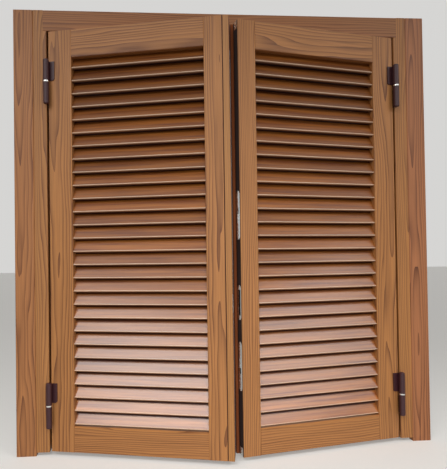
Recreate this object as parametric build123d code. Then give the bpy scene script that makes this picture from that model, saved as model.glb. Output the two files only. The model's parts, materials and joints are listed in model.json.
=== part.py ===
from build123d import *
import math
import os

# A pair of louvred timber shutters, hung in their three-sided frame and standing ajar.
# Each leaf is built in its own axes: u runs from the hinge axis to the meeting edge,
# v runs from the hinge axis towards the back, and z is up. Then it is hung and opened.

# How far each leaf stands open, in degrees
left_open = 13.2
right_open = 11.1

# Leaf, in millimetres
leaf_thickness = 45.0
hinge_stile_width = 73.0
louvre_width = 404.5
left_meeting_width = 54.5
strip_width = 19.0
right_meeting_width = 55.5
top_rail_height = 84.5
bottom_rail_height = 76.7
arris = 1.2
rail_bevel = 3.0

# Slats
slat_count = 28
slat_pitch = 40.0
slat_width = 60.0
slat_thickness = 10.0
slat_edge = 2.8
slat_tilt = 60.0
nose_setback = 4.2
nose_gap = 4.1
top_slat_reveal = 29.2
rebate_clear = 0.5
housing_depth = 8.0
housing_clear = 0.15

# Mortise and tenon
tenon_length = 30.0
tenon_thickness = 15.0
tenon_shoulder = 21.0
joint_clear = 0.1

# Meeting edge of the right leaf, with its tongue and seal
tongue_width = 8.0
tongue_thickness = 11.5
seal_width = 3.0
seal_seat = 3.0
seal_stand = 1.0

# Gaps round the leaves
hinge_gap = 3.0
meeting_gap = 12.0
head_gap = 3.0
foot_gap = 3.0
stop_gap = 2.0

# Frame
jamb_width = 40.0
frame_depth = 70.0
stop_width = 20.0
head_height = 64.0
head_housing = 10.0
casing_width = 59.0
casing_thickness = 22.0
casing_drop = 11.0
casing_tongue = 6.0
tongue_back = 8.0
groove_arris = 2.0
fixing_radius = 4.0
fixing_spacing = 480.0
fixing_middle = 680.0

# Hinges
hinge_reach = 14.1
barrel_radius = 8.75
knuckle_length = 66.0
knuckle_round = 2.5
washer_thickness = 4.0
washer_radius = 9.0
running_gap = 0.1
pin_radius = 5.0
pin_clear = 0.05
pin_seat = 40.0
pin_rise = 45.0
pin_top_gap = 1.0
plate_thickness = 3.0
plate_height = 58.0
plate_depth = 36.0
wing_reach = 12.5
wing_corner = 7.0
lower_hinge = 141.1
upper_hinge_drop = 158.2

# Edge hardware, all on one line behind the front face
hardware_depth = 16.5
face_thickness = 2.5
seat_clear = 0.15

# Strike plate on the right leaf
strike_width = 24.0
strike_height = 102.0
strike_middle = 447.0
strike_slot_width = 14.0
strike_slot_height = 75.0
strike_pocket = 16.0

# Lock in the left leaf
lock_face_width = 20.0
lock_face_height = 170.0
lock_face_middle = 467.0
case_depth = 50.0
case_height = 130.0
case_thickness = 14.0
bolt_height = 50.0
bolt_thickness = 10.0
bolt_length = 45.0
bolt_clear = 0.3
bolt_recess = 0.5
follower_rise = 60.0
follower_radius = 8.0
follower_clear = 0.1
backset = 30.0
spindle_side = 8.0
spindle_hole_radius = 6.5
rose_radius = 23.0
rose_thickness = 8.0
rose_round = 2.0
grip_radius = 8.0
grip_length = 105.0
grip_stand = 45.0
grip_bend = 16.0
grip_socket = 24.0
grip_round = 4.8
grip_gap = 0.3
spindle_gap = 1.0

# Sliding flush bolts and their rods in the right leaf
flush_width = 24.0
flush_height = 144.0
upper_flush_middle = 704.0
lower_flush_middle = 260.0
channel_depth = 21.0
channel_width = 16.0
channel_wall = 1.5
channel_margin = 10.0
thumb_height = 26.0
thumb_width = 6.0
thumb_depth = 5.0
thumb_stand = 1.0
thumb_clear = 0.5
thumb_groove = 1.2
thumb_groove_gap = 5.0
rod_throw = 18.0
rod_radius = 3.5
rod_clear = 0.5
rod_depth = 17.0
rod_tail = 5.0
rod_recess = 3.5
lug_width = 5.0
lug_height = 8.0
guide_leg = 24.0
guide_width = 20.0
guide_thickness = 2.0

# Keeper in the head
keeper_length = 44.0
keeper_width = 24.0
keeper_pocket = 16.0
keeper_hole_radius = 5.5

# Countersunk screw holes in the metal plates
screw_radius = 2.0
screw_head_radius = 3.8
plate_screw_inset = 12.0
guide_screw_drop = 15.6
keeper_screw_spacing = 30.0

# Places that follow from the sizes
leaf_edge = hinge_gap / 2
field_start = leaf_edge + hinge_stile_width
field_end = field_start + louvre_width
strip_start = field_end + left_meeting_width
left_edge = strip_start + strip_width
right_edge = field_end + right_meeting_width
opening_half = (left_edge + right_edge + meeting_gap) / 2 + hinge_gap / 2
hinge_x = opening_half - hinge_gap / 2
front_v = hinge_reach
back_v = hinge_reach + leaf_thickness
rebate_depth = leaf_thickness + stop_gap
hardware_v = front_v + hardware_depth

jamb_foot = casing_drop
leaf_foot = jamb_foot + foot_gap
field_foot = leaf_foot + bottom_rail_height
first_nose = field_foot + nose_gap + slat_thickness / 2
last_nose = first_nose + (slat_count - 1) * slat_pitch
field_top = last_nose + top_slat_reveal
leaf_top = field_top + top_rail_height
head_foot = leaf_top + head_gap
frame_top = head_foot + head_height
jamb_out = opening_half + jamb_width
frame_out = jamb_out + casing_width

hinge_heights = [leaf_foot + lower_hinge, leaf_top - upper_hinge_drop]
rod_u = right_edge - rod_depth
strike_z = leaf_foot + strike_middle
follower_z = strike_z + follower_rise
follower_u = left_edge - backset - face_thickness


def block(u, v, z):
    """A plain block between two values on each axis."""
    middle = Pos((u[0] + u[1]) / 2, (v[0] + v[1]) / 2, (z[0] + z[1]) / 2)
    return middle * Box(u[1] - u[0], v[1] - v[0], z[1] - z[0])


def board(u, v, z, along=Axis.Z, arris_size=arris):
    """A block whose long edges are eased."""
    plain = block(u, v, z)
    return chamfer(plain.edges().filter_by(along), arris_size)


def round_bar(start, direction, radius, length):
    """A round bar from a point, along a direction."""
    return Solid.make_cylinder(radius, length, Plane(origin=start, z_dir=direction))


def around(middle, size):
    """The two ends of a size that is centred on a value."""
    return (middle - size / 2, middle + size / 2)


def screw_hole(start, direction, depth):
    """The countersunk hole for a screw, through a plate of the given thickness."""
    place = Plane(origin=start, z_dir=direction)
    return Solid.make_cone(screw_head_radius, screw_radius, depth, place)


def edge_hole(start):
    """The countersunk hole for a screw in a plate on a leaf's meeting edge."""
    return screw_hole(start, (-1, 0, 0), face_thickness)


def slot_plate(u, thickness, width, height, middle, clear=0.0):
    """A plate with round ends, standing in an edge with its outer face at u."""
    outline = SlotOverall(height + 2 * clear, width + 2 * clear, rotation=90)
    place = Plane.YZ.offset(u - thickness - clear) * Pos(hardware_v, middle)
    return extrude(place * outline, amount=thickness + clear)


def end_screws(u, middle, height, width):
    """Start points of the two screws in the round ends of an edge plate."""
    reach = height / 2 - width / 2
    return [(u, hardware_v, middle - reach), (u, hardware_v, middle + reach)]


def slat_shape(u0, u1, nose_z, clear=0.0):
    """A slat with eased edges between two places, its nose low and to the front."""
    reach = slat_width - slat_thickness
    tilt = math.radians(slat_tilt)
    v = front_v + nose_setback + slat_thickness / 2 + reach / 2 * math.cos(tilt)
    z = nose_z + reach / 2 * math.sin(tilt)
    outline = Rectangle(slat_width + 2 * clear, slat_thickness + 2 * clear)
    outline = chamfer(outline.vertices(), slat_edge)
    place = Plane.YZ.offset(u0) * Pos(v, z) * Rot(0, 0, slat_tilt)
    return extrude(place * outline, amount=u1 - u0)


def slats():
    """All the slats of a leaf, as separate solids."""
    u0 = field_start - housing_depth
    u1 = field_end + housing_depth
    slat = slat_shape(u0, u1, first_nose)
    return Compound([Pos(0, 0, k * slat_pitch) * slat for k in range(slat_count)])


def housings(u0, u1):
    """The routed seats for the slats' ends."""
    seat = slat_shape(u0, u1, first_nose, housing_clear)
    return [Pos(0, 0, k * slat_pitch) * seat for k in range(slat_count)]


def tenon(u0, u1, z, clear=0.0):
    """A rail's tenon, or the mortise that takes it."""
    v = around((front_v + back_v) / 2, tenon_thickness + 2 * clear)
    foot = z[0] + tenon_shoulder - clear
    top = z[1] - tenon_shoulder + clear
    return block((u0, u1), v, (foot, top))


def rail(z, cut=None):
    """A rail between the stiles, with a tenon at each end."""
    body = board((field_start, field_end), (front_v, back_v), z, Axis.X)
    ends = tenon(field_start - tenon_length, field_end + tenon_length, z)
    return body + ends if cut is None else (body - cut) + ends


def top_rail():
    """The top rail, rebated behind so that the top slat slips up into it."""
    tilt = math.radians(slat_tilt)
    slope = (field_top - last_nose) / math.tan(tilt)
    slat_front = front_v + nose_setback + slat_thickness / 2 + slope
    slat_front = slat_front - slat_thickness / 2 / math.sin(tilt)
    slat_top = last_nose + (slat_width - slat_thickness / 2) * math.sin(tilt)
    slat_top = slat_top + (slat_thickness / 2 - slat_edge) * math.cos(tilt)
    v = (slat_front - rebate_clear, back_v)
    rebate = block((field_start, field_end), v, (field_top, slat_top + rebate_clear))
    return rail((field_top, leaf_top), rebate)


def bottom_rail():
    """The bottom rail, with a bevel along its top that sheds water."""
    plain = rail((leaf_foot, field_foot))
    wedge = Polyline(
        (front_v, field_foot), (front_v, field_foot - rail_bevel), (front_v + 2 * rail_bevel, field_foot),
        close=True,
    )
    bevel = extrude(Plane.YZ.offset(field_start) * make_face(wedge), amount=louvre_width)
    return plain - bevel


def rail_spans():
    """The heights between which the two rails lie."""
    return [(leaf_foot, field_foot), (field_top, leaf_top)]


def hinge_stile():
    """The stile on the hinge side, with seats for slats, tenons and hinge plates."""
    stile = board((leaf_edge, field_start), (front_v, back_v), (leaf_foot, leaf_top))
    cuts = housings(field_start - housing_depth - housing_clear, field_start + arris)
    mouth = field_start - tenon_length - joint_clear
    cuts += [tenon(mouth, field_start, z, joint_clear) for z in rail_spans()]
    for z in hinge_heights:
        cuts.append(leaf_plate(z, seat_clear, front_v - arris))
    return stile - cuts


def meeting_cuts():
    """The slat and tenon seats in a meeting stile."""
    cuts = housings(field_end - arris, field_end + housing_depth + housing_clear)
    mouth = field_end + tenon_length + joint_clear
    cuts += [tenon(field_end, mouth, z, joint_clear) for z in rail_spans()]
    return cuts


def lock_cuts():
    """The mortise for the lock case and the way for its spindle."""
    face = left_edge - face_thickness
    v = around(hardware_v, case_thickness + 2 * seat_clear)
    z = around(leaf_foot + lock_face_middle, case_height + 2 * seat_clear)
    mortise = block((face - case_depth - seat_clear, left_edge), v, z)
    start = (follower_u, hardware_v, follower_z)
    return [mortise, round_bar(start, (0, 1, 0), spindle_hole_radius, leaf_thickness)]


def left_meeting_stile():
    """The left leaf's meeting stile."""
    stile = board((field_end, strip_start), (front_v, back_v), (leaf_foot, leaf_top))
    return stile - meeting_cuts() - lock_cuts()


def closing_strip():
    """The strip along the left leaf's meeting edge, set off by a groove."""
    strip = board((strip_start, left_edge), (front_v, back_v), (leaf_foot, leaf_top))
    middle = leaf_foot + lock_face_middle
    plate = slot_plate(left_edge, face_thickness, lock_face_width, lock_face_height, middle, seat_clear)
    return strip - plate - lock_cuts()


def lock_screw_starts():
    """Where the two screws of the lock's face start."""
    middle = leaf_foot + lock_face_middle
    return end_screws(left_edge, middle, lock_face_height, lock_face_width)


def lock_face():
    """The face plate of the lock, with the window for its bolt."""
    middle = leaf_foot + lock_face_middle
    plate = slot_plate(left_edge, face_thickness, lock_face_width, lock_face_height, middle)
    v = around(hardware_v, bolt_thickness + 2 * bolt_clear)
    z = around(strike_z, bolt_height + 2 * bolt_clear)
    window = block((left_edge - face_thickness, left_edge), v, z)
    return plate - window - [edge_hole(start) for start in lock_screw_starts()]


def lock_case():
    """The lock's case, with the channel for its bolt and the seat of its follower."""
    face = left_edge - face_thickness
    v = around(hardware_v, case_thickness)
    case = block((face - case_depth, face), v, around(leaf_foot + lock_face_middle, case_height))
    channel_v = around(hardware_v, bolt_thickness + 2 * bolt_clear)
    channel_z = around(strike_z, bolt_height + 2 * bolt_clear)
    channel_u = left_edge - bolt_recess - bolt_length - bolt_clear
    channel = block((channel_u, face), channel_v, channel_z)
    start = (follower_u, hardware_v - case_thickness, follower_z)
    seat = round_bar(start, (0, 1, 0), follower_radius + follower_clear, 2 * case_thickness)
    return case - channel - seat


def lock_bolt():
    """The bolt, drawn back flush with the face plate."""
    tip = left_edge - bolt_recess
    v = around(hardware_v, bolt_thickness)
    return block((tip - bolt_length, tip), v, around(strike_z, bolt_height))


def square_bar(v, clear=0.0):
    """The square spindle between two depths, or its hole."""
    side = spindle_side + 2 * clear
    return block(around(follower_u, side), v, around(follower_z, side))


def lock_follower():
    """The hub in the lock case that the spindle turns."""
    start = (follower_u, hardware_v - case_thickness / 2, follower_z)
    hub = round_bar(start, (0, 1, 0), follower_radius, case_thickness)
    return hub - square_bar((front_v, back_v), joint_clear)


def handle_spindle():
    """The square spindle, from the follower into the handle's neck."""
    return square_bar((hardware_v - case_thickness / 2, back_v + grip_socket - spindle_gap))


def handle_rose():
    """The round rose on the back of the stile, under the handle."""
    start = (follower_u, back_v, follower_z)
    disc = round_bar(start, (0, 1, 0), rose_radius, rose_thickness)
    disc = chamfer(disc.edges().group_by(Axis.Y)[-1], rose_round)
    return disc - round_bar(start, (0, 1, 0), grip_radius + joint_clear, rose_thickness)


def lever_handle():
    """The inside handle: a round neck that bends into a level grip."""
    foot = back_v + grip_gap
    turn = back_v + grip_stand
    points = [
        (follower_u, foot, follower_z),
        (follower_u, turn, follower_z),
        (follower_u - grip_length, turn, follower_z),
    ]
    path = FilletPolyline(*points, radius=grip_bend)
    section = Plane(origin=points[0], z_dir=(0, 1, 0)) * Circle(grip_radius)
    bar = sweep(section, path=path)
    bar = fillet(bar.edges().group_by(Axis.X)[0], grip_round)
    return bar - square_bar((foot, back_v + grip_socket), joint_clear)


def right_meeting_stile():
    """The right leaf's meeting stile: plain edge, back tongue, seats for its hardware."""
    tongue_front = back_v - tongue_thickness
    stile = board((field_end, right_edge), (front_v, back_v), (leaf_foot, leaf_top))
    tongue_u = (right_edge - 2 * arris, right_edge + tongue_width)
    tongue = board(tongue_u, (tongue_front, back_v), (leaf_foot, leaf_top))
    kerf_u = (right_edge + tongue_width - seal_seat - seat_clear, right_edge + tongue_width)
    kerf = block(kerf_u, seal_span(seat_clear), (leaf_foot, leaf_top))
    cuts = meeting_cuts() + [kerf] + strike_cuts()
    for middle, side in flush_bolts():
        cuts += flush_cuts(middle, side)
    return stile + tongue - cuts


def seal_span(clear=0.0):
    """The depths between which the seal sits in the tongue."""
    return around(back_v - tongue_thickness / 2, seal_width + 2 * clear)


def meeting_seal():
    """The round-nosed seal in the end of the tongue."""
    tip = right_edge + tongue_width + seal_stand
    nose = seal_width / 2
    v = seal_span()
    body = block((tip - seal_stand - seal_seat, tip - nose), v, (leaf_foot, leaf_top))
    middle = (tip - nose, (v[0] + v[1]) / 2, leaf_foot)
    return body + round_bar(middle, (0, 0, 1), nose, leaf_top - leaf_foot)


def strike_cuts():
    """The seat and pocket for the strike plate, with its screw holes."""
    seat = slot_plate(right_edge, face_thickness, strike_width, strike_height, strike_z, seat_clear)
    v = around(hardware_v, strike_slot_width)
    pocket = block((right_edge - strike_pocket, right_edge), v, around(strike_z, strike_slot_height))
    return [seat, pocket]


def strike_screw_starts():
    """Where the strike plate's two screws start."""
    reach = (strike_height + strike_slot_height) / 4
    return [(right_edge, hardware_v, strike_z - reach), (right_edge, hardware_v, strike_z + reach)]


def strike_plate():
    """The plate that takes the lock's bolt."""
    plate = slot_plate(right_edge, face_thickness, strike_width, strike_height, strike_z)
    v = around(hardware_v, strike_slot_width)
    z = around(strike_z, strike_slot_height)
    window = block((right_edge - face_thickness, right_edge), v, z)
    return plate - window - [edge_hole(start) for start in strike_screw_starts()]


def flush_bolts():
    """Middle height of each flush bolt, and the side that its rod leaves by."""
    return [(leaf_foot + upper_flush_middle, 1), (leaf_foot + lower_flush_middle, -1)]


def channel_block(middle, clear=0.0):
    """The outside of the flush bolt's channel behind its face plate."""
    face = right_edge - face_thickness
    height = flush_height - 2 * channel_margin + 2 * clear
    v = around(hardware_v, channel_width + 2 * clear)
    return block((face - channel_depth - clear, face), v, around(middle, height))


def rod_way(side, start_z):
    """The bore for a rod, from its flush bolt to the leaf's end."""
    end_z = leaf_top if side > 0 else leaf_foot
    start = (rod_u, hardware_v, start_z)
    return round_bar(start, (0, 0, side), rod_radius + rod_clear, abs(end_z - start_z))


def flush_cuts(middle, side):
    """The seats for a flush bolt, its rod and its guide."""
    seat = slot_plate(right_edge, face_thickness, flush_width, flush_height, middle, seat_clear)
    room = [seat, channel_block(middle, seat_clear), rod_way(side, middle)]
    return room + guide_shape(side, seat_clear)


def flush_bolt_body(middle):
    """Face plate and channel of a flush bolt, with the slot for its thumb slide."""
    plate = slot_plate(right_edge, face_thickness, flush_width, flush_height, middle)
    face = right_edge - face_thickness
    inside_u = (face - channel_depth + channel_wall, face)
    inside_v = around(hardware_v, channel_width - 2 * channel_wall)
    channel = channel_block(middle) - block(inside_u, inside_v, around(middle, flush_height))
    slot_v = around(hardware_v, thumb_width + 2 * thumb_clear)
    slot_z = around(middle, thumb_height + rod_throw + 2 * thumb_clear)
    slot = block((right_edge - face_thickness, right_edge), slot_v, slot_z)
    starts = end_screws(right_edge, middle, flush_height, flush_width)
    return plate + channel - slot - [edge_hole(start) for start in starts]


def thumb_middle(middle, side):
    """Middle height of a thumb slide while its rod is drawn back."""
    return middle - side * rod_throw / 2


def thumb_slide(middle, side):
    """The grooved slide in a flush bolt's slot, by which a finger moves the rod."""
    height = thumb_middle(middle, side)
    v = around(hardware_v, thumb_width)
    outer = right_edge + thumb_stand
    slide = block((right_edge - thumb_depth, outer), v, around(height, thumb_height))
    levels = [height + k * thumb_groove_gap for k in (-1, 0, 1)]
    grooves = [block((outer - thumb_groove, outer), v, around(level, thumb_groove)) for level in levels]
    return slide - grooves


def rod(middle, side):
    """The rod of a flush bolt, drawn back into the leaf, with the lug that carries its slide."""
    end_z = leaf_top - rod_recess if side > 0 else leaf_foot + rod_recess
    height = thumb_middle(middle, side)
    start_z = height - side * (lug_height / 2 + rod_tail)
    bar = round_bar((rod_u, hardware_v, start_z), (0, 0, side), rod_radius, abs(end_z - start_z))
    lug_u = (rod_u, right_edge - thumb_depth)
    return bar + block(lug_u, around(hardware_v, lug_width), around(height, lug_height))


def guide_shape(side, clear=0.0):
    """The two legs of a rod guide: one on the leaf's edge, one on its end."""
    end = leaf_top if side > 0 else leaf_foot
    v = around(hardware_v, guide_width + 2 * clear)
    u_leg = (right_edge - guide_thickness - clear, right_edge)
    z_leg = sorted((end, end - side * (guide_leg + clear)))
    u_foot = (rod_u - guide_width / 2 - clear, right_edge)
    z_foot = sorted((end, end - side * (guide_thickness + clear)))
    return [block(u_leg, v, z_leg), block(u_foot, v, z_foot)]


def guide_screw_start(side):
    """Where the screw of a rod guide starts."""
    end = leaf_top if side > 0 else leaf_foot
    return (right_edge, hardware_v, end - side * guide_screw_drop)


def rod_guide(side):
    """An angle at the leaf's end, with the hole that a rod slides through."""
    leg, foot = guide_shape(side)
    end = leaf_top if side > 0 else leaf_foot
    start = (rod_u, hardware_v, end - side * 2 * guide_thickness)
    hole = round_bar(start, (0, 0, side), rod_radius + rod_clear, 3 * guide_thickness)
    return leg + foot - hole - edge_hole(guide_screw_start(side))


def leaf_plate(z, clear=0.0, front=0.0):
    """The part of a leaf hinge that is let into the stile's edge."""
    foot = z + washer_thickness / 2 + (knuckle_length - plate_height) / 2
    u = (leaf_edge, leaf_edge + plate_thickness + clear)
    v = (front, front_v + plate_depth + clear)
    return block(u, v, (foot - clear, foot + plate_height + clear))


def plate_screw_places(z_foot):
    """Depth and height of the two screws in a hinge plate."""
    middle = front_v + plate_depth / 2
    return [(middle, z_foot + plate_screw_inset), (middle, z_foot + plate_height - plate_screw_inset)]


def leaf_plate_screws(z):
    """Where the screws of a leaf hinge start."""
    foot = z + washer_thickness / 2 + (knuckle_length - plate_height) / 2
    return [(leaf_edge, v, height) for v, height in plate_screw_places(foot)]


def wing(z):
    """The flange of a leaf hinge that lies on the stile's front face."""
    foot = z + washer_thickness / 2 + (knuckle_length - plate_height) / 2
    reach = (leaf_edge, barrel_radius + wing_reach)
    flange = block(reach, (front_v - plate_thickness, front_v), (foot, foot + plate_height))
    outer = flange.edges().filter_by(Axis.Y).group_by(Axis.X)[-1]
    flange = fillet(outer.sort_by(Axis.Z)[0], wing_corner)
    return flange


def leaf_hinge(z):
    """The upper knuckle, with its wing on the face and its plate in the stile's edge."""
    foot = z + washer_thickness / 2 + running_gap
    barrel = round_bar((0, 0, foot), (0, 0, 1), barrel_radius, knuckle_length)
    barrel = chamfer(barrel.edges().group_by(Axis.Z)[-1], knuckle_round)
    body = barrel + leaf_plate(z) + wing(z)
    bore_depth = pin_rise + pin_top_gap
    bore = round_bar((0, 0, foot), (0, 0, 1), pin_radius + pin_clear, bore_depth)
    return body - bore - [screw_hole(p, (1, 0, 0), plate_thickness) for p in leaf_plate_screws(z)]


def jamb_plate(z, clear=0.0, front=0.0):
    """The part of a frame hinge that is let into the jamb."""
    top = z - washer_thickness / 2 - (knuckle_length - plate_height) / 2
    u = (-leaf_edge - plate_thickness - clear, -leaf_edge)
    v = (front, front_v + plate_depth + clear)
    return block(u, v, (top - plate_height - clear, top + clear))


def jamb_plate_screws(z):
    """Where the screws of a frame hinge start."""
    top = z - washer_thickness / 2 - (knuckle_length - plate_height) / 2
    return [(-leaf_edge, v, height) for v, height in plate_screw_places(top - plate_height)]


def frame_hinge(z):
    """The lower knuckle, with its plate in the jamb."""
    top = z - washer_thickness / 2
    barrel = round_bar((0, 0, top - knuckle_length), (0, 0, 1), barrel_radius, knuckle_length)
    barrel = chamfer(barrel.edges().group_by(Axis.Z)[0], knuckle_round)
    bore = round_bar((0, 0, top - pin_seat), (0, 0, 1), pin_radius + pin_clear, pin_seat)
    holes = [screw_hole(p, (-1, 0, 0), plate_thickness) for p in jamb_plate_screws(z)]
    return barrel + jamb_plate(z) - bore - holes


def hinge_washer(z):
    """The bright washer between two knuckles."""
    foot = (0, 0, z - washer_thickness / 2)
    ring = round_bar(foot, (0, 0, 1), washer_radius, washer_thickness)
    return ring - round_bar(foot, (0, 0, 1), pin_radius + pin_clear, washer_thickness)


def hinge_pin(z):
    """The pin that stands in the lower knuckle and carries the upper one."""
    foot = z - washer_thickness / 2 - pin_seat
    length = pin_seat + washer_thickness + running_gap + pin_rise
    pin = round_bar((0, 0, foot), (0, 0, 1), pin_radius, length)
    return chamfer(pin.edges().group_by(Axis.Z)[-1], pin_top_gap)


def at_left_hinge(shape):
    """Carry a piece from the hinge's axes to the left hinge, unturned."""
    return Pos(-hinge_x, -hinge_reach, 0) * shape


def at_right_hinge(shape):
    """Carry a mirrored piece from the hinge's axes to the right hinge, unturned."""
    return Pos(hinge_x, -hinge_reach, 0) * mirror(shape, about=Plane.YZ)


def in_left_leaf(shape):
    """Hang a piece in the left leaf and open it."""
    return Pos(-hinge_x, -hinge_reach, 0) * Rot(0, 0, -left_open) * shape


def in_right_leaf(shape):
    """Hang a mirrored piece in the right leaf and open it."""
    return Pos(hinge_x, -hinge_reach, 0) * Rot(0, 0, right_open) * mirror(shape, about=Plane.YZ)


def fixing_heights():
    """Heights of the holes that fasten a jamb to the wall."""
    return [fixing_middle + k * fixing_spacing for k in (-1, 0, 1)]


def jamb():
    """The left jamb: a rebated post with seats for the head, the casing and the hinges."""
    z = (jamb_foot, frame_top)
    post = board((-jamb_out, -opening_half), (0, frame_depth), z)
    stop_u = (-opening_half - arris * 2, -opening_half + stop_width)
    stop = board(stop_u, (rebate_depth, frame_depth), z)
    groove_u = (-jamb_out, -jamb_out + casing_tongue + joint_clear)
    groove_v = (tongue_back - joint_clear, tongue_back + casing_tongue + joint_clear)
    cuts = [block(groove_u, groove_v, (jamb_foot, frame_top))]
    cuts.append(head_seat())
    middle_of_stop = (rebate_depth + frame_depth) / 2
    for height in fixing_heights():
        start = (-jamb_out, middle_of_stop, height)
        cuts.append(round_bar(start, (1, 0, 0), fixing_radius, jamb_width + stop_width))
    cuts += [at_left_hinge(jamb_plate(height, seat_clear, front_v - arris)) for height in hinge_heights]
    return post + stop - cuts


def head_seat():
    """The seat that the head's left end takes in the jamb."""
    u = (-opening_half - head_housing - joint_clear, 0)
    return block(u, (-joint_clear, frame_depth + joint_clear), (head_foot - joint_clear, frame_top))


def keeper_place():
    """The point under the head where the upper rod meets it when the leaf is shut."""
    return (hinge_x - rod_u, hardware_depth)


def keeper_screw_starts():
    """Where the keeper's two screws start."""
    x, y = keeper_place()
    return [(end, y, head_foot) for end in around(x, keeper_screw_spacing)]


def keeper_shape(clear=0.0):
    """The keeper plate, or its seat in the head."""
    x, y = keeper_place()
    u = around(x, keeper_length + 2 * clear)
    return block(u, around(y, keeper_width + 2 * clear), (head_foot, head_foot + face_thickness + clear))


def head_keeper():
    """The plate in the head that takes the upper rod."""
    x, y = keeper_place()
    hole = round_bar((x, y, head_foot), (0, 0, 1), keeper_hole_radius, face_thickness)
    screw_holes = [screw_hole(start, (0, 0, 1), face_thickness) for start in keeper_screw_starts()]
    return keeper_shape() - hole - screw_holes


def head():
    """The head between the jambs, rebated like them."""
    reach = opening_half + head_housing
    bar = board((-reach, reach), (0, frame_depth), (head_foot, frame_top), Axis.X)
    inner = opening_half - stop_width
    stop_z = (head_foot - stop_width, head_foot + 2 * arris)
    stop = board((-inner, inner), (rebate_depth, frame_depth), stop_z, Axis.X)
    x, y = keeper_place()
    pocket = round_bar((x, y, head_foot), (0, 0, 1), keeper_hole_radius, keeper_pocket)
    return bar + stop - keeper_shape(seat_clear) - pocket


def casing():
    """The left casing: a board on the wall's face, tongued into the jamb."""
    face = block((-frame_out, -jamb_out), (0, casing_thickness), (0, frame_top))
    inner = face.edges().filter_by(Axis.Z).group_by(Axis.X)[-1].sort_by(Axis.Y)[0]
    outer = face.edges().filter_by(Axis.Z).group_by(Axis.X)[0].sort_by(Axis.Y)[0]
    eased = chamfer([inner], groove_arris)
    eased = chamfer(eased.edges().filter_by(Axis.Z).group_by(Axis.X)[0].sort_by(Axis.Y)[0], arris)
    tongue_v = (tongue_back, tongue_back + casing_tongue)
    return eased + block((-jamb_out, -jamb_out + casing_tongue), tongue_v, (jamb_foot, frame_top))


def frame_pieces():
    """All the pieces that stay with the frame."""
    pieces = {
        "left_jamb": jamb(),
        "right_jamb": mirror(jamb(), about=Plane.YZ),
        "left_casing": casing(),
        "right_casing": mirror(casing(), about=Plane.YZ),
        "head": head(),
        "head_keeper": head_keeper(),
    }
    for level, z in zip(("lower", "upper"), hinge_heights):
        for side, place in (("left", at_left_hinge), ("right", at_right_hinge)):
            pieces[f"{side}_{level}_frame_hinge"] = place(frame_hinge(z))
            pieces[f"{side}_{level}_hinge_washer"] = place(hinge_washer(z))
            pieces[f"{side}_{level}_hinge_pin"] = place(hinge_pin(z))
    return pieces


def shared_leaf_pieces():
    """The pieces that both leaves have, by their plain names."""
    pieces = {
        "hinge_stile": hinge_stile(),
        "top_rail": top_rail(),
        "bottom_rail": bottom_rail(),
        "slats": slats(),
    }
    for level, z in zip(("lower", "upper"), hinge_heights):
        pieces[f"{level}_leaf_hinge"] = leaf_hinge(z)
    return pieces


def left_leaf_pieces():
    """The pieces that only the left leaf has, with its lock and handle."""
    return {
        "left_meeting_stile": left_meeting_stile(),
        "left_closing_strip": closing_strip(),
        "lock_face": lock_face(),
        "lock_case": lock_case(),
        "lock_bolt": lock_bolt(),
        "lock_follower": lock_follower(),
        "handle_spindle": handle_spindle(),
        "handle_rose": handle_rose(),
        "lever_handle": lever_handle(),
    }


def right_leaf_pieces():
    """The pieces that only the right leaf has, with its flush bolts."""
    pieces = {
        "right_meeting_stile": right_meeting_stile(),
        "meeting_seal": meeting_seal(),
        "strike_plate": strike_plate(),
    }
    for level, (middle, side) in zip(("upper", "lower"), flush_bolts()):
        pieces[f"{level}_flush_bolt"] = flush_bolt_body(middle)
        pieces[f"{level}_bolt_thumb"] = thumb_slide(middle, side)
        pieces[f"{level}_bolt_rod"] = rod(middle, side)
        pieces[f"{level}_rod_guide"] = rod_guide(side)
    return pieces


def all_pieces():
    """Every piece in its place, by name."""
    pieces = frame_pieces()
    for name, shape in shared_leaf_pieces().items():
        pieces[f"left_{name}"] = in_left_leaf(shape)
        pieces[f"right_{name}"] = in_right_leaf(shape)
    pieces.update({name: in_left_leaf(shape) for name, shape in left_leaf_pieces().items()})
    pieces.update({name: in_right_leaf(shape) for name, shape in right_leaf_pieces().items()})
    return pieces


def depth_middle(pieces):
    """The middle of the whole from front to back."""
    boxes = [shape.bounding_box() for shape in pieces.values()]
    front = min(box.min.Y for box in boxes)
    back = max(box.max.Y for box in boxes)
    return (front + back) / 2


# The origin lies under the middle of the whole, level with the casings' feet
os.makedirs("parts", exist_ok=True)
pieces = all_pieces()
middle_y = depth_middle(pieces)
print("the origin lies in front of the frame's face by", round(-middle_y, 4))
for name, shape in pieces.items():
    export_step(Pos(0, -middle_y, 0) * shape, f"parts/{name}.step")
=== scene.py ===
# %% [markdown]
# # Louvred shutters
# The object is a pair of varnished timber shutters, hung ajar in a three-sided timber frame. Its solids come from a
# CAD model that is already in place, so this lesson only adds what CAD leaves out: the grain and varnish of the wood,
# the finishes of the metal, softly rounded slats and small screws. The solids keep their places, because hinges and
# rods move with them. Everything is in metres, with X to the right, Y into the wall and Z up.

# %% Load the solids
import json
import math
import bpy
import bmesh
from mathutils import Matrix, Vector


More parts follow.
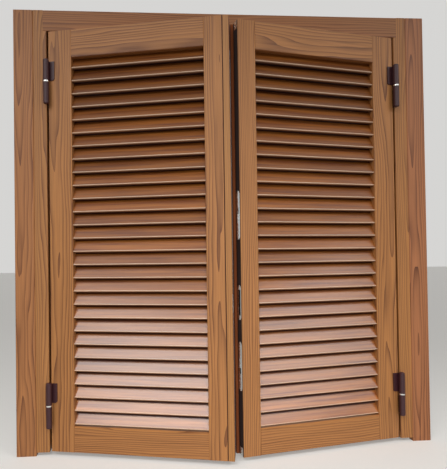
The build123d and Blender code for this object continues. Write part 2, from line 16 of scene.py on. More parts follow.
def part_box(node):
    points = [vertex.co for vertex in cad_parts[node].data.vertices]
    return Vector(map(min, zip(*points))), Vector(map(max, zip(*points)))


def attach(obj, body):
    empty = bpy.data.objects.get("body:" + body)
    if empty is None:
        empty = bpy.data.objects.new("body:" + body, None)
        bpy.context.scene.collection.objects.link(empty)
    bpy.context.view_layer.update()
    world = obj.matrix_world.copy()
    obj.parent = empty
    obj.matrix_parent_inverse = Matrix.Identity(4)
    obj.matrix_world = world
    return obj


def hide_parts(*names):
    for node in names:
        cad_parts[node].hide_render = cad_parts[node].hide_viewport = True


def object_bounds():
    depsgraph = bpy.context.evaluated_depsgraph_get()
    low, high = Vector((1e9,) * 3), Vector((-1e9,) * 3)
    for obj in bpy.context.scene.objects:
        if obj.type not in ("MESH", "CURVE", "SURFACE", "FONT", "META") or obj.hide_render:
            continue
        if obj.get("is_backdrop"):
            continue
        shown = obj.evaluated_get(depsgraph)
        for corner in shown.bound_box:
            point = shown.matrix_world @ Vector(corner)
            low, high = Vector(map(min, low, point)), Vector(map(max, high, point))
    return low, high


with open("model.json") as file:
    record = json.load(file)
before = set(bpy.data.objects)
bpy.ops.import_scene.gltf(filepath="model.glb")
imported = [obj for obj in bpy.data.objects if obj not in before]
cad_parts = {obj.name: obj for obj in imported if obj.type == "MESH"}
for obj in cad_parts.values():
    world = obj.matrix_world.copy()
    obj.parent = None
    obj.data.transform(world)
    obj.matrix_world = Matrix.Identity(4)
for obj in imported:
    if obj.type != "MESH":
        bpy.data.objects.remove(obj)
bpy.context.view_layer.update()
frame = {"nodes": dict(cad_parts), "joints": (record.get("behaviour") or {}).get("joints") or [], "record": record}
nodes = frame["nodes"]
mm = 0.001

# %% [markdown]
# ## Where each leaf stands
# A leaf is easiest to describe in its own axes: u runs from its hinge to its free edge, v runs from its hinge towards
# the back, and z is up. Each leaf's hinge joint says where its axis is, and the least value of its range says how far
# the leaf stands open, so both are read from the joints and not typed again. The leaf's own measures are in
# millimetres, as a joiner would give them.

# %% Read the hinges
joints = {joint["name"]: joint for joint in frame["joints"]}


def leaf_place(side):
    """The hinge point of a leaf, its directions u and v, and the turn that maps its own axes to the frame."""
    joint = joints[f"{side}_leaf_hinge"]
    opened = math.radians(-joint["range_deg"][0])
    hand = 1 if side == "left" else -1
    u = Vector((hand * math.cos(opened), -math.sin(opened), 0))
    v = Vector((hand * math.sin(opened), math.cos(opened), 0))
    return Vector((joint["pos_m"][0], joint["pos_m"][1], 0)), u, v, -hand * opened


def in_leaf(side, u, v, z):
    """A point of a leaf, given in millimetres in its own axes."""
    hinge, along, back = leaf_place(side)[:3]
    return hinge + along * (u * mm) + back * (v * mm) + Vector((0, 0, z * mm))


for side in ("left", "right"):
    print(side, "leaf stands open by", round(math.degrees(abs(leaf_place(side)[3])), 1), "degrees")

# %% The leaves' own measures
# The front and the back of both leaves, then what lies across them: the free edge of each, the joint of the left
# leaf's closing strip and the end of the right leaf's tongue.
front_v, back_v = 14.1, 59.1
left_edge, right_edge = 552.5, 534.5
strip_joint = 533.5
tongue_end = 542.6
leaf_heights = [corner.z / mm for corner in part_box("left_closing_strip")]
print("the leaves are", round(back_v - front_v, 1), "mm thick and",
      round(leaf_heights[1] - leaf_heights[0], 1), "mm high")

# %% [markdown]
# ## Colours and nodes
# Colours are written as hex values, as they look on a screen, and a render needs them in linear light. Materials are
# small node trees. One helper adds a node, sets what it is told to set, and links what it is told to link. A longer
# way would be a helper for each kind of node, but then every tree would read differently.

# %% Helpers for every material
def linear(colour):
    """A colour for a shader, from its sRGB hex value."""
    parts = [int(colour[k:k + 2], 16) / 255 for k in (1, 3, 5)]
    return [p / 12.92 if p <= 0.04045 else ((p + 0.055) / 1.055) ** 2.4 for p in parts] + [1.0]


def add(material, kind, inputs=None, **settings):
    """Add a node with its settings; an input is either a value or the socket to link it to."""
    node = material.node_tree.nodes.new(kind)
    for name, value in settings.items():
        setattr(node, name, value)
    for name, value in (inputs or {}).items():
        if isinstance(value, bpy.types.NodeSocket):
            material.node_tree.links.new(value, node.inputs[name])
        else:
            node.inputs[name].default_value = value
    return node


def new_material(name):
    """An empty material with its output node."""
    material = bpy.data.materials.new(name)
    material.use_nodes = True
    material.node_tree.nodes.clear()
    output = add(material, "ShaderNodeOutputMaterial")
    return material, output


def dress(node_name, material):
    """Give a solid its finish, in its own material slot."""
    slots = nodes[node_name].data.materials
    slots.clear()
    slots.append(material)


print("a mid brown in linear light", [round(p, 3) for p in linear("#A87446")[:3]])

# %% [markdown]
# ## Varnished pine
# The frame and leaves are pine boards under a warm brown varnish. A board's figure comes from the tree: its growth
# rings are cylinders round the pith, and a board cuts them lengthwise. Where the cut is nearly level with the rings
# they spread into tall pointed arches, and towards the edges they close up into stripes. So the pattern here is the
# distance from a pith line that lies behind the board, bent by a slow noise that is long in the direction of the
# grain, and by a small ripple. A wave texture could do this with fewer nodes, but its rings can't be placed behind
# each board. Summer wood darkens slowly and ends at once, so the position in a ring is raised to a power.
# The rings are 6 mm wide, as in quick grown pine, which is about as fine as a small picture can show. Fibres, long
# in the same direction, vary the tone and the gloss a little.

# %% The boards' own coordinates
noise_middle = (0.3, 0.7)
grain_roughness = 0.55


def board_axes(material, along, side=None):
    """Across, depth and length of a board in millimetres; side names the leaf it belongs to."""
    place = add(material, "ShaderNodeTexCoord").outputs["Object"]
    hinge, turn = Vector((0, 0, 0)), 0.0
    if side:
        hinge, _, _, turn = leaf_place(side)
    own = add(material, "ShaderNodeMapping", {
        "Vector": place, "Location": hinge, "Rotation": (0, 0, turn), "Scale": (mm, mm, mm),
    }, vector_type="TEXTURE")
    parts = add(material, "ShaderNodeSeparateXYZ", {0: own.outputs[0]}).outputs
    if along == "Z":
        return parts["X"], parts["Y"], parts["Z"]
    return parts["Z"], parts["Y"], parts["X"]


def board_noise(material, axes, width, stretch, seed, detail):
    """A noise that is stretched along the grain, for features of a given width in millimetres."""
    across, depth, length = axes
    slow = add(material, "ShaderNodeMath", {0: length, 1: stretch}, operation="MULTIPLY")
    place = add(material, "ShaderNodeCombineXYZ", {0: across, 1: depth, 2: slow.outputs[0]})
    return add(material, "ShaderNodeTexNoise", {
        "Vector": place.outputs[0], "W": seed, "Scale": 1 / width, "Detail": detail, "Roughness": grain_roughness,
    }, noise_dimensions="4D").outputs[0]


def spread(material, value, low, high):
    """The middle of a noise's values, spread between two numbers."""
    return add(material, "ShaderNodeMapRange", {
        "Value": value, "From Min": noise_middle[0], "From Max": noise_middle[1], "To Min": low, "To Max": high,
    }).outputs[0]


print("of each noise, the values from", noise_middle[0], "to", noise_middle[1], "are used")

# %% Growth rings
ring_width = 6.0
ring_sharpness = 2.6
# For each noise: the width of its features in millimetres, its pace along the grain as a share of that across, and its
# detail.
arch_width, arch_stretch, arch_detail = 80.0, 0.10, 1.0
ripple_width, ripple_stretch, ripple_detail = 16.0, 0.12, 0.5
patch_width, patch_stretch, patch_detail = 26.0, 0.05, 2.0
arch_bend, ripple_bend = 11.0, 1.3
patch_strength = (0.4, 1.1)


def growth_rings(material, axes, pith, seed):
    """How dark the summer wood is at each point, from 0 to 1."""
    across, depth = axes[:2]
    arch = board_noise(material, axes, arch_width, arch_stretch, seed, arch_detail)
    ripple = board_noise(material, axes, ripple_width, ripple_stretch, seed, ripple_detail)
    flat = add(material, "ShaderNodeCombineXYZ", {0: across, 1: depth})
    radius = add(material, "ShaderNodeVectorMath", {0: flat.outputs[0], 1: (*pith, 0)}, operation="DISTANCE")
    bent = radius.outputs["Value"]
    for noise, bend in ((arch, arch_bend), (ripple, ripple_bend)):
        bent = add(material, "ShaderNodeMath", {0: bent, 1: spread(material, noise, -bend, bend)},
                   operation="ADD").outputs[0]
    rings = add(material, "ShaderNodeMath", {0: bent, 1: ring_width}, operation="DIVIDE")
    ring = add(material, "ShaderNodeMath", {0: rings.outputs[0]}, operation="FRACT")
    late = add(material, "ShaderNodeMath", {0: ring.outputs[0], 1: ring_sharpness}, operation="POWER")
    patch = board_noise(material, axes, patch_width, patch_stretch, seed + 0.5, patch_detail)
    return add(material, "ShaderNodeMath", {0: late.outputs[0], 1: spread(material, patch, *patch_strength)},
               operation="MULTIPLY").outputs[0]


print("growth rings are", ring_width, "mm wide")

# %% [markdown]
# ## Edges and joints
# The edges between the leaves show only in the narrow gap. They are given a matt sealer in place of the varnish: a red
# brown one on the closing strip and on the tongue. The right meeting stile's edge is matt too, and painted nearly
# black, a painted shade of the narrow gap. Each band is a range across the board, kept clear of its faces and ends.
# The groove between the left leaf and its closing strip is a dark line, because dirt stays in it. Both could be pieces
# of their own, but they are only colour, so masks do.

# %% Masks for bands and lines
joint_half = 1.5
joint_colour = "#4E2812"


def masked(material, shade, mask, colour):
    """A colour that is replaced where the mask is 1."""
    return add(material, "ShaderNodeMix", {0: mask, 6: shade, 7: linear(colour)}, data_type="RGBA").outputs[2]


def within(material, value, low, high, mask=1.0):
    """The mask, kept where the value lies between two numbers."""
    near = add(material, "ShaderNodeMath", {0: value, 1: (low + high) / 2, 2: (high - low) / 2}, operation="COMPARE")
    return add(material, "ShaderNodeMath", {0: near.outputs[0], 1: mask}, operation="MULTIPLY").outputs[0]


print("joint lines are", 2 * joint_half, "mm wide")

# %% The varnished wood itself
fibre_width, fibre_stretch, fibre_detail = 3.0, 0.02, 3.0
fibre_tone = (0.82, 1.06)
varnish_roughness = (0.6, 0.5)
wood_ior = 1.5
ring_relief, ring_step = 0.12, 0.2
sealed_margin = 1.2


def varnished_pine(name, along, pith, seed, side=None, spring="#BE8048", summer="#5A2A12", banded=(), joint=None):
    """Pine with its pith at (across, depth) millimetres.

    The bands are matt, each from one place across to another, with its colour. The red brown ones are a sealer, and
    the nearly black one is painted shade of the gap between the leaves. A joint is a dark line at one place across.
    """
    material, output = new_material(name)
    axes = board_axes(material, along, side)
    late = growth_rings(material, axes, pith, seed)
    colour = add(material, "ShaderNodeValToRGB", {0: late})
    colour.color_ramp.elements[0].color = linear(spring)
    colour.color_ramp.elements[1].color = linear(summer)
    fibre = board_noise(material, axes, fibre_width, fibre_stretch, seed, fibre_detail)
    tone = spread(material, fibre, *fibre_tone)
    wood = add(material, "ShaderNodeVectorMath", {0: colour.outputs[0], "Scale": tone}, operation="SCALE").outputs[0]
    gloss = spread(material, fibre, *varnish_roughness)
    for start, end, band_colour in banded:
        matt = within(material, axes[0], start, end)
        for axis, (low, high) in ((axes[1], (front_v, back_v)), (axes[2], leaf_heights)):
            matt = within(material, axis, low + sealed_margin, high - sealed_margin, matt)
        wood = masked(material, wood, matt, band_colour)
        gloss = add(material, "ShaderNodeMath", {0: gloss, 1: matt}, operation="MAXIMUM").outputs[0]
    if joint:
        wood = masked(material, wood, within(material, axes[0], joint - joint_half, joint + joint_half), joint_colour)
    relief = add(material, "ShaderNodeBump", {"Height": late, "Strength": ring_relief, "Distance": ring_step * mm})
    shader = add(material, "ShaderNodeBsdfPrincipled", {
        "Base Color": wood, "Roughness": gloss, "IOR": wood_ior, "Normal": relief.outputs[0],
    })
    material.node_tree.links.new(shader.outputs[0], output.inputs[0])
    return material


print("the varnish's roughness goes from", varnish_roughness[1], "to", varnish_roughness[0])

# %% Frame boards
# For each board its grain, its pith, the seed of its noise and the colour of its spring wood.
frame_boards = (
    ("left_jamb", "Z", (-545, 50), 1.0, "#BC8048"),
    ("right_jamb", "Z", (590, 45), 2.0, "#BE8046"),
    ("left_casing", "Z", (-630, 45), 3.0, "#B87A48"),
    ("right_casing", "Z", (612, 50), 4.0, "#B8764A"),
    ("head", "X", (1285, 55), 5.0, "#B07444"),
)
for node, along, pith, seed, spring in frame_boards:
    dress(node, varnished_pine(f"varnished pine {node}", along, pith, seed, spring=spring))
print("frame boards dressed", len(frame_boards))

# %% Leaf boards
# Places across run the same way in both leaves, so those of the right leaf are negative. Its meeting stile has the
# pith beyond its free edge, which gives it plain stripes. The slack keeps an edge's own face inside its band.
# How far the painted shade reaches in from the right leaf's edge.
shaded_edge_reach = 25
slack = 0.05
edge_bands = {
    ("left", "closing_strip"): ((strip_joint, left_edge + slack, "#6E3C22"),),
    ("right", "meeting_stile"): (
        # The nearly black band is painted shade of the gap between the leaves; the tongue's band is a red brown sealer.
        (-right_edge - slack, -right_edge + shaded_edge_reach, "#2C150D"), (-tongue_end, -right_edge - slack, "#8E4B24"),
    ),
}
for side, hand in (("left", 1), ("right", -1)):
    for place, (part, along, pith) in enumerate((
        ("hinge_stile", "Z", (hand * 28, 52)),
        ("meeting_stile", "Z", (520 if side == "left" else -600, 50)),
        ("top_rail", "X", (1225, 60)),
        ("bottom_rail", "X", (-8, 48)),
    )):
        banded = edge_bands.get((side, part), ())
        joint = strip_joint if (side, part) == ("left", "meeting_stile") else None
        seed = 10.0 * (2 + hand) + place
        pine = varnished_pine(f"varnished pine {side} {part}", along, pith, seed, side, banded=banded, joint=joint)
        dress(f"{side}_{part}", pine)
strip = varnished_pine("varnished pine closing strip", "Z", (650, 20), 7.0, "left", "#BC8248", "#8A5228",
                       edge_bands["left", "closing_strip"], strip_joint)
dress("left_closing_strip", strip)
print("leaf boards dressed, edges sealed on", [" ".join(board) for board in edge_bands])

# %% [markdown]
# ## Slats
# A louvre slat is a thin board with rounded long edges, set on the slant with its nose low and in front, so that rain
# runs off. Its ends sit in routed seats in the stiles. The solids have the right size and slant with flat bevels, and
# the rounded edges are what catches the light, so the slats are drawn again here with a smooth round edge. They could
# be bevelled with a modifier. Drawing the section and repeating it is just as short, and each slat then gets its own
# number, by which its wood differs from its neighbours'.

# %% Size and slant of a slat
slat_width = 60.0
slat_thickness = 10.0
slat_pitch = 40.0
slat_count = 28
slat_tilt = math.radians(60)
slat_round = 1.6
nose_setback = 4.2
nose_height = 99.8
field = (74.5, 479.0)
housing_depth = 8.0
print("the slats are", slat_count * slat_pitch, "mm high together and", field[1] - field[0], "mm long in sight")

# %% A slat's section
# How far the painted highlight on the nose reaches on to the slat's front, and the painted shade under it on to the
# back. Then where the painted shade on the covered part begins, from the middle of its width, on the lowest and on the
# highest slat, how far it fades, and how dark it is.
# The pale nose is a painted highlight.
highlight_fade = 0.8
# Painted shade under the nose, then on the part that the next slat covers.
nose_shade_fade = 14.0
covered_shade_from = (-1.0, 12.0)
covered_shade_fade = 4.0
covered_shade_strength = 0.95


def slat_section(share, steps=5):
    """Points round a slat's section: along and across its width, and their painted light: 1 for a painted highlight, -1
    for painted shade.

    The share says how high the slat is in its leaf, from 0 to 1, since the painted shade covers more of the lower
    slats.
    """
    shade_start = covered_shade_from[0] + (covered_shade_from[1] - covered_shade_from[0]) * share
    points = []
    for corner, painted_light in enumerate((-covered_shade_strength, 1, -1, 0)):
        turn = corner * math.pi / 2
        x = (slat_width / 2 - slat_round) * (1 if corner in (0, 3) else -1)
        y = (slat_thickness / 2 - slat_round) * (1 if corner in (0, 1) else -1)
        arc = []
        for k in range(steps + 1):
            angle = turn + k / steps * math.pi / 2
            arc.append((x + slat_round * math.cos(angle), y + slat_round * math.sin(angle), painted_light))
        if corner == 0:
            arc += [(shade_start + covered_shade_fade, arc[-1][1], painted_light), (shade_start, arc[-1][1], 0)]
        if corner == 1:
            arc.insert(0, (arc[0][0] + highlight_fade, arc[0][1], 0))
        if corner == 2:
            arc.append((arc[-1][0] + nose_shade_fade, arc[-1][1], 0))
        points += arc
    return points


def slat_point(side, u, nose, x, y):
    """A point of a slat, from its place in the section."""
    reach = (slat_width - slat_thickness) / 2
    along = x + reach
    v = front_v + nose_setback + slat_thickness / 2 + along * math.cos(slat_tilt) - y * math.sin(slat_tilt)
    z = nose + along * math.sin(slat_tilt) + y * math.cos(slat_tilt)
    return in_leaf(side, u, v, z)


print("a slat's section has", len(slat_section(0)), "points")

# %% All the slats of a leaf
def louvre_field(side):
    """All the slats of one leaf in one mesh, numbered in a mesh attribute."""
    mesh = bmesh.new()
    number = mesh.verts.layers.float.new("slat")
    painted_light_layer = mesh.verts.layers.float.new("painted_light")
    front = mesh.verts.layers.float.new("front")
    ends = (field[0] - housing_depth, field[1] + housing_depth)
    for k in range(slat_count):
        section = slat_section(k / (slat_count - 1))
        nose = nose_height + k * slat_pitch
        loops = [[mesh.verts.new(slat_point(side, u, nose, x, y)) for x, y, painted_light in section] for u in ends]
        for vert, (x, y, painted_light) in zip(loops[0] + loops[1], section * 2):
            vert[number] = k
            vert[painted_light_layer] = painted_light
            vert[front] = 1.0 if y > 0 else 0.0
        for n in range(len(section)):
            m = (n + 1) % len(section)
            mesh.faces.new((loops[0][n], loops[0][m], loops[1][m], loops[1][n]))
        for cap in (mesh.faces.new(loops[0][::-1]), mesh.faces.new(loops[1])):
            for edge in cap.edges:
                edge.smooth = False
    bmesh.ops.recalc_face_normals(mesh, faces=mesh.faces)
    data = bpy.data.meshes.new(f"{side}_louvres")
    mesh.to_mesh(data)
    mesh.free()
    for face in data.polygons:
        face.use_smooth = len(face.vertices) == 4
    shown = bpy.data.objects.new(f"{side}_louvres", data)
    bpy.context.scene.collection.objects.link(shown)
    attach(shown, f"{side}_leaf")
    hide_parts(f"{side}_slats")
    return shown


louvres = {side: louvre_field(side) for side in ("left", "right")}
print("slats drawn", slat_count * 2, "corners", [len(one.data.vertices) for one in louvres.values()])

# %% [markdown]
# ## Slat timber
# The slats are of the same pine under the same varnish, cut thin, so their figure runs in long streaks. Each slat came
# from another board. The mesh attributes made above shift the pattern and the tone for each one, and say where a
# painted highlight lies pale on the rounded nose and where painted shade lies dark under the nose. The part that the
# next slat covers has painted shade too. The gloss varnish is sprayed from the front, so only the front of a slat has a
# clear coat. The slats are painted darker towards the top, a painted shade of the wall above the window, and their
# clear coat is thinner there.

# %% The slats' finish
# Painted shade: the top slats are painted darker by this share, for the shade of the lintel above.
top_shade_tone = 0.54
sheltered_coat = 0.2
slat_shift = 7.3
slat_figure, slat_stretch, slat_detail = 9.0, 0.035, 4.0
streak_colours = ("#76380C", "#B86E26")
slat_tone = (0.84, 1.14)
# A painted highlight on the nose.
highlight_colour, highlight_strength = "#E4C2A2", 0.8
# Painted shade under the noses and between the slats.
painted_shade_colour = "#36110B"
back_roughness, front_roughness, coat_roughness = 0.75, 0.4, 0.2
streak_relief, streak_step = 0.15, 0.3


def by_height(material, number, top):
    """A factor that goes from 1 on the lowest slat to its value on the top one."""
    return add(material, "ShaderNodeMapRange", {
        "Value": number, "From Max": slat_count - 1.0, "To Min": 1.0, "To Max": top,
    }).outputs[0]


def slat_pine(side):
    """Streaked pine whose pattern and tone change from slat to slat, with a worn nose."""
    material, output = new_material(f"varnished pine {side} slats")
    axes = board_axes(material, "X", side)
    number, painted_light, front = (
        add(material, "ShaderNodeAttribute", attribute_name=name).outputs["Fac"] for name in ("slat", "painted_light", "front")
    )
    shift = add(material, "ShaderNodeMath", {0: number, 1: slat_shift}, operation="MULTIPLY").outputs[0]
    streak = board_noise(material, axes, slat_figure, slat_stretch, shift, slat_detail)
    colour = add(material, "ShaderNodeValToRGB", {0: spread(material, streak, 0.0, 1.0)})
    for element, shade in zip(colour.color_ramp.elements, streak_colours):
        element.color = linear(shade)
    chance = add(material, "ShaderNodeTexWhiteNoise", {"W": shift}, noise_dimensions="1D").outputs["Value"]
    tone = add(material, "ShaderNodeMapRange", {"Value": chance, "To Min": slat_tone[0], "To Max": slat_tone[1]})
    # Painted shade of the lintel: the tone falls towards the top slats.
    tone = add(material, "ShaderNodeMath", {0: tone.outputs[0], 1: by_height(material, number, top_shade_tone)},
               operation="MULTIPLY")
    wood = add(material, "ShaderNodeVectorMath", {0: colour.outputs[0], "Scale": tone.outputs[0]},
               operation="SCALE").outputs[0]
    # A painted highlight on the nose, and painted shade under it and on the covered part.
    for strength, shade in ((highlight_strength, highlight_colour), (-1.0, painted_shade_colour)):
        reached = add(material, "ShaderNodeMath", {0: painted_light, 1: strength}, operation="MULTIPLY", use_clamp=True)
        wood = masked(material, wood, reached.outputs[0], shade)
    relief = add(material, "ShaderNodeBump", {
        "Height": streak, "Strength": streak_relief, "Distance": streak_step * mm,
    })
    rough = add(material, "ShaderNodeMapRange", {"Value": front, "To Min": back_roughness, "To Max": front_roughness})
    coat = add(material, "ShaderNodeMath", {0: by_height(material, number, sheltered_coat), 1: front},
               operation="MULTIPLY")
    shader = add(material, "ShaderNodeBsdfPrincipled", {
        "Base Color": wood, "Roughness": rough.outputs[0], "IOR": wood_ior, "Coat Weight": coat.outputs[0],
        "Coat Roughness": coat_roughness, "Coat IOR": wood_ior, "Normal": relief.outputs[0],
    })
    material.node_tree.links.new(shader.outputs[0], output.inputs[0])
    return material


for side in ("left", "right"):
    finish = slat_pine(side)
    louvres[side].data.materials.append(finish)
    dress(f"{side}_slats", finish)
print("slats dressed, the top ones", top_shade_tone, "as bright as the lowest")

# %% [markdown]
# ## Metal and rubber
# The hinges are steel with a dark red brown paint, which hides the metal and has a soft sheen. The washers, pins,
# bolts and plates are steel with a bright zinc coat. Zinc plate is shiny but a little cloudy, so its roughness changes
# from place to place. In the flush bolts' channels and the strike plate's slot it is painted dark, a painted shade of
# the recess. The lock's case has a dull zinc coat, which mirrors only softly. The lever handle and its rose are satin
# nickel, warmer than zinc and with a finer cloud. The seal between the leaves is dark brown rubber, matt with a fine
# grain. Each could be a tree of its own, but all vary between two colours and two roughnesses, so one recipe makes
# them.

# %% One recipe for metal and rubber
ramp_ends = (0.35, 0.65)
cloud_detail, cloud_roughness, cloud_step = 4.0, 0.6, 0.1
# Painted shade in the flush bolts' channels and the strike plate's slot.
channel_shade_colour = "#2A2624"


def surface(name, low, high, metallic, rough, grain, relief=0.1, shade_depth=None):
    """A finish that varies between two colours and two roughnesses, by a grain in millimetres.

    Given a depth, what lies deeper in the right leaf than that is painted dark, a painted shade of the recess.
    """
    material, output = new_material(name)
    place = add(material, "ShaderNodeTexCoord").outputs["Object"]
    cloud = add(material, "ShaderNodeTexNoise", {
        "Vector": place, "Scale": 1 / (grain * mm), "Detail": cloud_detail, "Roughness": cloud_roughness,
    }).outputs[0]
    colour = add(material, "ShaderNodeValToRGB", {0: cloud})
    for element, position, tint in zip(colour.color_ramp.elements, ramp_ends, (low, high)):
        element.position = position
        element.color = linear(tint)
    shade = colour.outputs[0]
    if shade_depth:
        across = board_axes(material, "Z", "right")[0]
        deep = add(material, "ShaderNodeMath", {0: across, 1: -shade_depth}, operation="GREATER_THAN")
        shade = masked(material, shade, deep.outputs[0], channel_shade_colour)
    bump = add(material, "ShaderNodeBump", {"Height": cloud, "Strength": relief, "Distance": cloud_step * mm})
    shader = add(material, "ShaderNodeBsdfPrincipled", {
        "Base Color": shade, "Metallic": metallic, "Roughness": spread(material, cloud, *rough),
        "Normal": bump.outputs[0],
    })
    material.node_tree.links.new(shader.outputs[0], output.inputs[0])
    return material


channel_depth = 3.0
brown_paint = surface("brown painted steel", "#2E1016", "#441C22", 0.0, (0.4, 0.55), 2.0)
zinc_plate = surface("bright zinc plate", "#D2D4D2", "#ECECE8", 1.0, (0.18, 0.3), 6.0)
dull_zinc = surface("dull zinc plate", "#8E908C", "#A8AAA4", 1.0, (0.4, 0.6), 8.0)
satin_nickel = surface("satin nickel", "#B8B2A6", "#CAC4B8", 1.0, (0.3, 0.38), 0.8)
brown_rubber = surface("brown rubber", "#1E1210", "#2C1C18", 0.0, (0.65, 0.8), 1.5, relief=0.3)
zinc_with_channel_shade = surface("zinc plate with painted shade in its channel", "#D2D4D2", "#ECECE8", 1.0, (0.12, 0.3), 6.0,
                      relief=0.4, shade_depth=right_edge - channel_depth)
# The dark in the channels is painted shade, from this depth below the edge.
print("finishes made, with grease from", channel_depth, "mm below the edge")

# %% Dress metal and rubber
by_slot = {
    "hinge_steel": brown_paint, "bright_steel": zinc_plate, "plated_steel": dull_zinc,
    "handle_metal": satin_nickel, "seal_rubber": brown_rubber,
}
dressed = 0
for part in frame["record"]["subparts"]:
    node, slot = part["node"], part["material_slot"]
    if slot in by_slot:
        # The flush bolts and the strike plate get painted shade in their recesses.
        dress(node, zinc_with_channel_shade if node.endswith(("flush_bolt", "strike_plate")) else by_slot[slot])
        dressed += 1
print("metal and rubber pieces dressed", dressed)

# %% [markdown]
# ## Screws
# Countersunk screws hold every plate. Their heads are flush and have a cross recess. They are too small for the CAD
# model, so one head is built here and used at each hole. The recess could be a bump in the material, but a real
# recess also stays in the exported mesh.

# %% One screw head
head_radius = 3.7
neck_radius = 1.9
head_depth = 2.3
cross_reach = 1.9
cross_half = 0.45
cross_depth = 1.0
head_steps = 24


def screw_head():
    """A countersunk head with a cross recess, its flat top at the origin, pointing down."""
    mesh = bmesh.new()
    arm, half, deep = cross_reach * mm, cross_half * mm, -cross_depth * mm
    outline = []
    for quarter in range(4):
        turn = Matrix.Rotation(quarter * math.pi / 2, 3, "Z")
        outline += [turn @ Vector(point) for point in ((half, half, 0), (half, arm, 0), (-half, arm, 0))]
    top = [mesh.verts.new(point) for point in outline]
    floor = [mesh.verts.new((point.x, point.y, deep)) for point in outline]
    rims = []
    for radius, z in ((head_radius * mm, 0), (neck_radius * mm, -head_depth * mm)):
        angles = [2 * math.pi * k / head_steps for k in range(head_steps)]
        rims.append([mesh.verts.new((radius * math.cos(a), radius * math.sin(a), z)) for a in angles])
    for loop, below in ((top, floor), (rims[0], rims[1])):
        for n in range(len(loop)):
            m = (n + 1) % len(loop)
            mesh.faces.new((loop[n], loop[m], below[m], below[n]))
    mesh.faces.new(floor)
    mesh.faces.new(rims[1])
    edges = [mesh.edges.get((loop[n], loop[(n + 1) % len(loop)])) for loop in (top, rims[0]) for n in range(len(loop))]
    bmesh.ops.triangle_fill(mesh, edges=edges, use_beauty=True)
    bmesh.ops.recalc_face_normals(mesh, faces=mesh.faces)
    data = bpy.data.meshes.new("countersunk_screw")
    mesh.to_mesh(data)
    mesh.free()
    data.materials.append(zinc_plate)
    return data


screw_mesh = screw_head()
print("screw head has", len(screw_mesh.polygons), "faces")

# %% Screws in the edges between the leaves
screw_sink = 0.1
edge_depth = 30.6
guide_inset = 15.6


def put_screw(name, body, start, direction):
    """Set a screw with its head just under a plate's face; direction points into the plate."""
    shown = bpy.data.objects.new(name, screw_mesh)
    bpy.context.scene.collection.objects.link(shown)
    shown.matrix_world = Matrix.Translation(start + direction * (screw_sink * mm)) @ \
        (-direction).to_track_quat("Z", "Y").to_matrix().to_4x4()
    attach(shown, body)


def edge_screw_heights(node, inset):
    """Two heights, each as far from a plate's end as the inset."""
    low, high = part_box(node)
    return low.z / mm + inset, high.z / mm - inset


placed = 0
for node, side, u, inset in (
    ("lock_face", "left", left_edge, 10.0),
    ("strike_plate", "right", right_edge, 6.75),
    ("upper_flush_bolt", "right", right_edge, 12.0),
    ("lower_flush_bolt", "right", right_edge, 12.0),
):
    for end, z in enumerate(edge_screw_heights(node, inset)):
        direction = -leaf_place(side)[1]
        put_screw(f"{node}_screw_{end}", f"{side}_leaf", in_leaf(side, u, edge_depth, z), direction)
        placed += 1
for level, side_up in (("upper", 1), ("lower", -1)):
    low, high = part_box(f"{level}_rod_guide")
    end = (high.z if side_up > 0 else low.z) / mm
    start = in_leaf("right", right_edge, edge_depth, end - side_up * guide_inset)
    put_screw(f"{level}_guide_screw", "right_leaf", start, -leaf_place("right")[1])
    placed += 1
print("edge screws placed", placed)

# %% Hinge and keeper screws
# How far behind the hinge's axis the screws stand, and how far their heads are from it on each side.
plate_depth = 32.1
plate_face = 1.5
plate_inset = 12.0
plate_height = 58.0
knuckle_margin = 4.0
keeper_reach = 15
for side in ("left", "right"):
    hinge, u = leaf_place(side)[:2]
    still = Vector((1 if side == "left" else -1, 0, 0))
    for level in ("lower", "upper"):
        low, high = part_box(f"{side}_{level}_leaf_hinge")
        foot = low.z / mm + knuckle_margin
        for end, z in enumerate((foot + plate_inset, foot + plate_height - plate_inset)):
            start = in_leaf(side, plate_face, plate_depth, z)
            put_screw(f"{side}_{level}_leaf_screw_{end}", f"{side}_leaf", start, u)
        low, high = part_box(f"{side}_{level}_frame_hinge")
        top = high.z / mm - knuckle_margin
        for end, z in enumerate((top - plate_inset, top - plate_height + plate_inset)):
            start = hinge - still * (plate_face * mm) + Vector((0, plate_depth * mm, z * mm))
            put_screw(f"{side}_{level}_jamb_screw_{end}", "frame", start, -still)
low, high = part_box("head_keeper")
middle = (low + high) / 2
for end in (-1, 1):
    start = Vector((middle.x + end * keeper_reach * mm, middle.y, low.z))
    put_screw(f"keeper_screw_{(end + 1) // 2}", "frame", start, Vector((0, 0, 1)))
print("hinge and keeper screws placed, those of the keeper", 2 * keeper_reach, "mm apart")

# %% [markdown]
# ## Floor, background and light
# The shutters stand on a plain pale floor. Three soft lamps light them: one low in front, so that the slats' faces are
# evenly lit, and one high on each side, which the varnish of the lower slats mirrors and which gives the hinges a soft
# shadow. The beams of the high lamps are narrowed towards the foot, so the top is a little dimmer, as it would be
# under a lintel. The world fills the rest evenly.
# A pale floor throws much light up under the slats. So the floor is pale, and glows a little, only for the camera
# and in mirrored light, and is darker for the light that it throws on the wood. The world too gives less light than
# it shows.

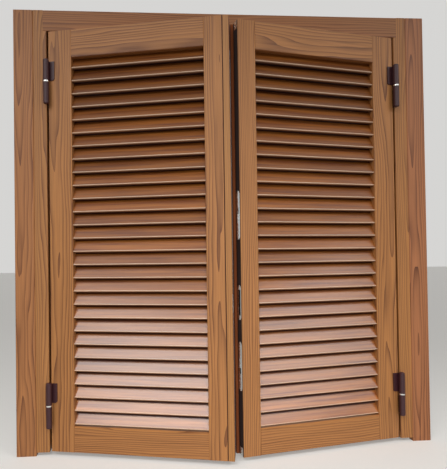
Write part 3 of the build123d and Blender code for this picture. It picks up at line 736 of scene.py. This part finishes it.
# %% Floor
floor_half = 20.0
floor_roughness = 0.7
floor_colour = "#DEDCD8"
floor_bounce = "#8E8C88"
floor_glow = 0.3
stone, output = new_material("pale floor")
rays = add(stone, "ShaderNodeLightPath").outputs
shown_ray = add(stone, "ShaderNodeMath", {0: rays["Is Camera Ray"], 1: rays["Is Glossy Ray"]}, operation="MAXIMUM")
shade = add(stone, "ShaderNodeMix", {0: shown_ray.outputs[0], 6: linear(floor_bounce), 7: linear(floor_colour)},
            data_type="RGBA")
glow = add(stone, "ShaderNodeMath", {0: shown_ray.outputs[0], 1: floor_glow}, operation="MULTIPLY")
matt = add(stone, "ShaderNodeBsdfPrincipled", {
    "Base Color": shade.outputs[2], "Roughness": floor_roughness, "Emission Color": linear(floor_colour),
    "Emission Strength": glow.outputs[0],
})
stone.node_tree.links.new(matt.outputs[0], output.inputs[0])
corners = [(x * floor_half, y * floor_half, 0) for x, y in ((-1, -1), (1, -1), (1, 1), (-1, 1))]
floor_mesh = bpy.data.meshes.new("floor")
floor_mesh.from_pydata(corners, [], [(0, 1, 2, 3)])
floor_mesh.materials.append(stone)
floor = bpy.data.objects.new("floor", floor_mesh)
bpy.context.scene.collection.objects.link(floor)
floor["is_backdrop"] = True

# %% World
world_colour = "#F4F3F1"
world_light = 0.27
world_seen = 0.74
world = bpy.data.worlds.new("studio")
world.use_nodes = True
bpy.context.scene.world = world
world.node_tree.nodes.clear()
paths = add(world, "ShaderNodeLightPath").outputs
seen = paths["Is Camera Ray"]
for other in ("Is Glossy Ray", "Is Transmission Ray"):
    seen = add(world, "ShaderNodeMath", {0: seen, 1: paths[other]}, operation="MAXIMUM").outputs[0]
level = add(world, "ShaderNodeMapRange", {"Value": seen, "To Min": world_light, "To Max": world_seen})
sky = add(world, "ShaderNodeBackground", {"Color": linear(world_colour), "Strength": level.outputs[0]})
add(world, "ShaderNodeOutputWorld", {0: sky.outputs[0]})
print("the world gives light at", world_light, "and is seen at", world_seen)

# %% Lamps
def soft_lamp(name, place, aim, size, power, beam):
    """A wide area lamp that looks at a point, with its beam narrowed to an angle in degrees."""
    data = bpy.data.lights.new(name, "AREA")
    data.shape = "RECTANGLE"
    data.size, data.size_y = size
    data.energy = power
    data.spread = math.radians(beam)
    lamp = bpy.data.objects.new(name, data)
    bpy.context.scene.collection.objects.link(lamp)
    lamp.location = place
    lamp.rotation_mode = "QUATERNION"
    lamp.rotation_quaternion = (Vector(aim) - Vector(place)).to_track_quat("-Z", "Y")
    print("lamp", name, "of", power, "W and", beam, "degrees")


soft_lamp("front", place=(0.35, -2.6, 0.80), aim=(0, 0, 0.05), size=(1.1, 1.1), power=3.0, beam=60)
soft_lamp("key", place=(-1.25, -2.00, 2.30), aim=(-0.2, 0, 0.1), size=(2.2, 1.2), power=7.2, beam=64)
soft_lamp("fill", place=(1.85, -1.70, 2.30), aim=(0.3, 0, 0.1), size=(1.9, 1.1), power=3.8, beam=64)

# %% [markdown]
# ## Camera
# The camera stands a little left of the middle and less than a metre and a half away, which is why the near edges of
# the leaves look taller than their hinge sides. The picture was cut from a larger one, so its middle is not on the
# lens's axis, and the shift takes that up.

# %% Camera
# The camera's place and its three turns, then in pixels the focal length, the picture's size and the lens's axis.
eye = Vector((-0.2546, -1.4200, 0.5958))
yaw = math.radians(3.866)
pitch = math.radians(0.812)
roll = math.radians(-0.753)
focal_px = 467.47
picture = (447, 469)
centre_px = (177.10, 250.88)
sensor_width = 36.0

ahead = Vector((math.sin(yaw) * math.cos(pitch), math.cos(yaw) * math.cos(pitch), math.sin(pitch)))
level_right = Vector((math.cos(yaw), -math.sin(yaw), 0))
level_up = level_right.cross(ahead)
right = level_right * math.cos(roll) + level_up * math.sin(roll)
up = level_up * math.cos(roll) - level_right * math.sin(roll)
camera = bpy.data.objects.new("camera", bpy.data.cameras.new("camera"))
bpy.context.scene.collection.objects.link(camera)
axes = Matrix((right, up, -ahead)).transposed().to_4x4()
camera.matrix_world = Matrix.Translation(eye) @ axes
camera.data.sensor_width = sensor_width
camera.data.lens = sensor_width * focal_px / max(picture)
camera.data.shift_x = (picture[0] / 2 - centre_px[0]) / max(picture)
camera.data.shift_y = (centre_px[1] - picture[1] / 2) / max(picture)
bpy.context.scene.camera = camera
bpy.context.scene.view_settings.view_transform = "Standard"
print("lens", round(camera.data.lens, 2), "mm")

# %% [markdown]
# ## Sizes
# The dressed model must be as large as the solids, so its box is measured before the scene is finished.

# %% Measure the dressed model
low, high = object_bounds()
